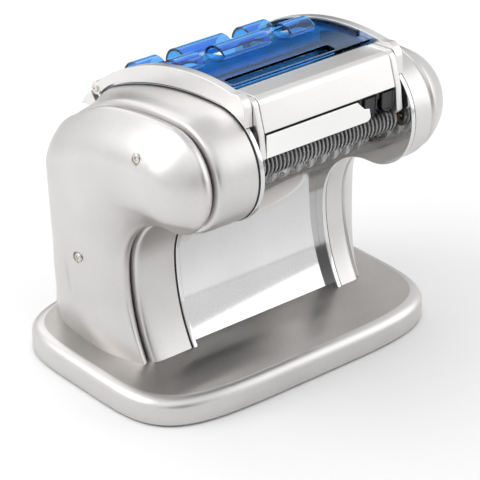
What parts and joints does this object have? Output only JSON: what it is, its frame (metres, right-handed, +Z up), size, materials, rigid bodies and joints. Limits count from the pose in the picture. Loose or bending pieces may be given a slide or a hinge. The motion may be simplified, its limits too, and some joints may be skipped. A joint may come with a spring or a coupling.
{
  "type": "electric pasta maker",
  "caption": "Motor-driven pasta maker with a C-shaped body on a broad base, smooth rollers, two pairs of noodle cutters, a thickness knob and a hinged clear guard.",
  "frame": {"origin": "centre of the bounding box's underside, on the surface the feet stand on", "axes": "+X along the rollers, from the motor end to the knob end; -Y towards the side the noodles leave from; +Z up"},
  "size_m": [0.31, 0.224, 0.266],
  "materials": {
    "satin_silver": "satin silver paint",
    "brushed_steel": "brushed",
    "polished_steel": "mirror polished",
    "roller_steel": "ground and polished",
    "cutter_steel": "turned",
    "screw_steel": "nickel plated",
    "gear_steel": "machined",
    "gear_nylon": "moulded",
    "bearing_bronze": "sintered",
    "motor_enamel": "enamelled",
    "clear_blue": "clear, glossy",
    "black_gloss": "glossy",
    "black_matte": "fine texture",
    "foot_rubber": "matt",
    "switch_red": "glossy",
    "contact_brass": "plated"
  },
  "bodies": {
    "housing": {"base_shell": "satin_silver", "base_cover": "black_matte", "feet": "foot_rubber", "foot_screws": "screw_steel", "left_flange": "polished_steel", "right_flange": "polished_steel", "left_band": "satin_silver", "right_band": "satin_silver", "left_cover": "satin_silver", "right_cover": "satin_silver", "cover_screws": "screw_steel", "chute": "polished_steel", "rear_shell": "brushed_steel", "inner_wall": "black_matte", "tie_rods": "brushed_steel", "front_bar": "brushed_steel", "bar_cheeks": "satin_silver", "tray": "polished_steel", "rib_comb": "black_gloss", "feed_guides": "black_gloss", "bushes": "bearing_bronze", "gear_pins": "roller_steel", "gearbox_plate": "brushed_steel", "posts": "brushed_steel", "motor_body": "motor_enamel", "motor_ring": "brushed_steel", "setting_ring": "satin_silver", "hinge_brackets": "brushed_steel", "hinge_tips": "satin_silver", "switch_frame": "black_gloss", "power_inlet": "black_gloss", "inlet_pins": "contact_brass"},
    "guard": {"clear_guard": "clear_blue", "left_arm": "satin_silver", "right_arm": "satin_silver", "pivot_screws": "screw_steel"},
    "drive_roller": {"drive_roller": "roller_steel", "drive_gears": "gear_steel"},
    "gauge_carriage": {"carriage": "brushed_steel", "slide_blocks": "bearing_bronze", "gap_arm": "brushed_steel"},
    "gauge_roller": {"gauge_roller": "roller_steel", "gauge_gear": "gear_steel"},
    "front_fine_cutter": {"fine_front": "cutter_steel", "fine_front_gear": "gear_steel"},
    "rear_fine_cutter": {"fine_rear": "cutter_steel", "fine_rear_gear": "gear_steel"},
    "front_broad_cutter": {"broad_front": "cutter_steel", "broad_front_gear": "gear_steel"},
    "rear_broad_cutter": {"broad_rear": "cutter_steel", "broad_rear_gear": "gear_steel"},
    "idler": {"idler_gear": "gear_nylon"},
    "second_wheel": {"second_gear": "gear_nylon"},
    "third_wheel": {"third_gear": "gear_nylon"},
    "motor_rotor": {"motor_shaft": "roller_steel"},
    "thickness_knob": {"knob": "black_gloss", "knob_shaft": "roller_steel", "gap_cam": "gear_nylon"},
    "power_rocker": {"switch_rocker": "switch_red"}
  },
  "joints": [
    {"name": "drive_spin", "type": "hinge", "parent": "housing", "child": "drive_roller", "pos_m": [0, -0.047, 0.226], "axis": [1, 0, 0], "continuous": true},
    {"name": "gap_slide", "type": "slide", "parent": "housing", "child": "gauge_carriage", "axis": [0, -1, 0], "range_m": [0, 0.0018]},
    {"name": "gauge_spin", "type": "hinge", "parent": "gauge_carriage", "child": "gauge_roller", "pos_m": [0, -0.0152, 0.226], "axis": [1, 0, 0], "continuous": true},
    {"name": "rear_fine_spin", "type": "hinge", "parent": "housing", "child": "rear_fine_cutter", "pos_m": [0, -0.06636, 0.2056], "axis": [1, 0, 0], "continuous": true},
    {"name": "front_fine_spin", "type": "hinge", "parent": "housing", "child": "front_fine_cutter", "pos_m": [0, -0.08886, 0.2056], "axis": [1, 0, 0], "continuous": true},
    {"name": "front_broad_spin", "type": "hinge", "parent": "housing", "child": "front_broad_cutter", "pos_m": [0, -0.05805, 0.17884], "axis": [1, 0, 0], "continuous": true},
    {"name": "rear_broad_spin", "type": "hinge", "parent": "housing", "child": "rear_broad_cutter", "pos_m": [0, -0.03555, 0.17884], "axis": [1, 0, 0], "continuous": true},
    {"name": "idler_spin", "type": "hinge", "parent": "housing", "child": "idler", "pos_m": [0, -0.07746, 0.18748], "axis": [1, 0, 0], "continuous": true},
    {"name": "second_wheel_spin", "type": "hinge", "parent": "housing", "child": "second_wheel", "pos_m": [0, -0.03481, 0.20489], "axis": [1, 0, 0], "continuous": true},
    {"name": "third_wheel_spin", "type": "hinge", "parent": "housing", "child": "third_wheel", "pos_m": [0, 0.00606, 0.16809], "axis": [1, 0, 0], "continuous": true},
    {"name": "motor_spin", "type": "hinge", "parent": "housing", "child": "motor_rotor", "pos_m": [0, 0.02775, 0.14223], "axis": [1, 0, 0], "continuous": true},
    {"name": "guard_hinge", "type": "hinge", "parent": "housing", "child": "guard", "pos_m": [0, 0.09007, 0.21096], "axis": [-1, 0, 0], "range_deg": [0, 75]},
    {"name": "knob_turn", "type": "hinge", "parent": "housing", "child": "thickness_knob", "pos_m": [0, 0.0071, 0.19], "axis": [-1, 0, 0], "range_deg": [0, 270]},
    {"name": "rocker_tilt", "type": "hinge", "parent": "housing", "child": "power_rocker", "pos_m": [-0.0833, 0.09275, 0.1198], "axis": [1, 0, 0], "range_deg": [0, 16]}
  ],
  "couplings": [
    {"joint": "knob_turn", "follows": "gap_slide", "rad_per_m": 2618},
    {"joint": "gauge_spin", "follows": "drive_spin", "ratio": -1},
    {"joint": "rear_fine_spin", "follows": "drive_spin", "ratio": -1.5},
    {"joint": "front_fine_spin", "follows": "drive_spin", "ratio": 1.5},
    {"joint": "idler_spin", "follows": "drive_spin", "ratio": 1.6875},
    {"joint": "front_broad_spin", "follows": "drive_spin", "ratio": -1.5},
    {"joint": "rear_broad_spin", "follows": "drive_spin", "ratio": 1.5},
    {"joint": "second_wheel_spin", "follows": "drive_spin", "ratio": -2.25},
    {"joint": "third_wheel_spin", "follows": "drive_spin", "ratio": 2.7},
    {"joint": "motor_spin", "follows": "drive_spin", "ratio": -7.7143}
  ]
}
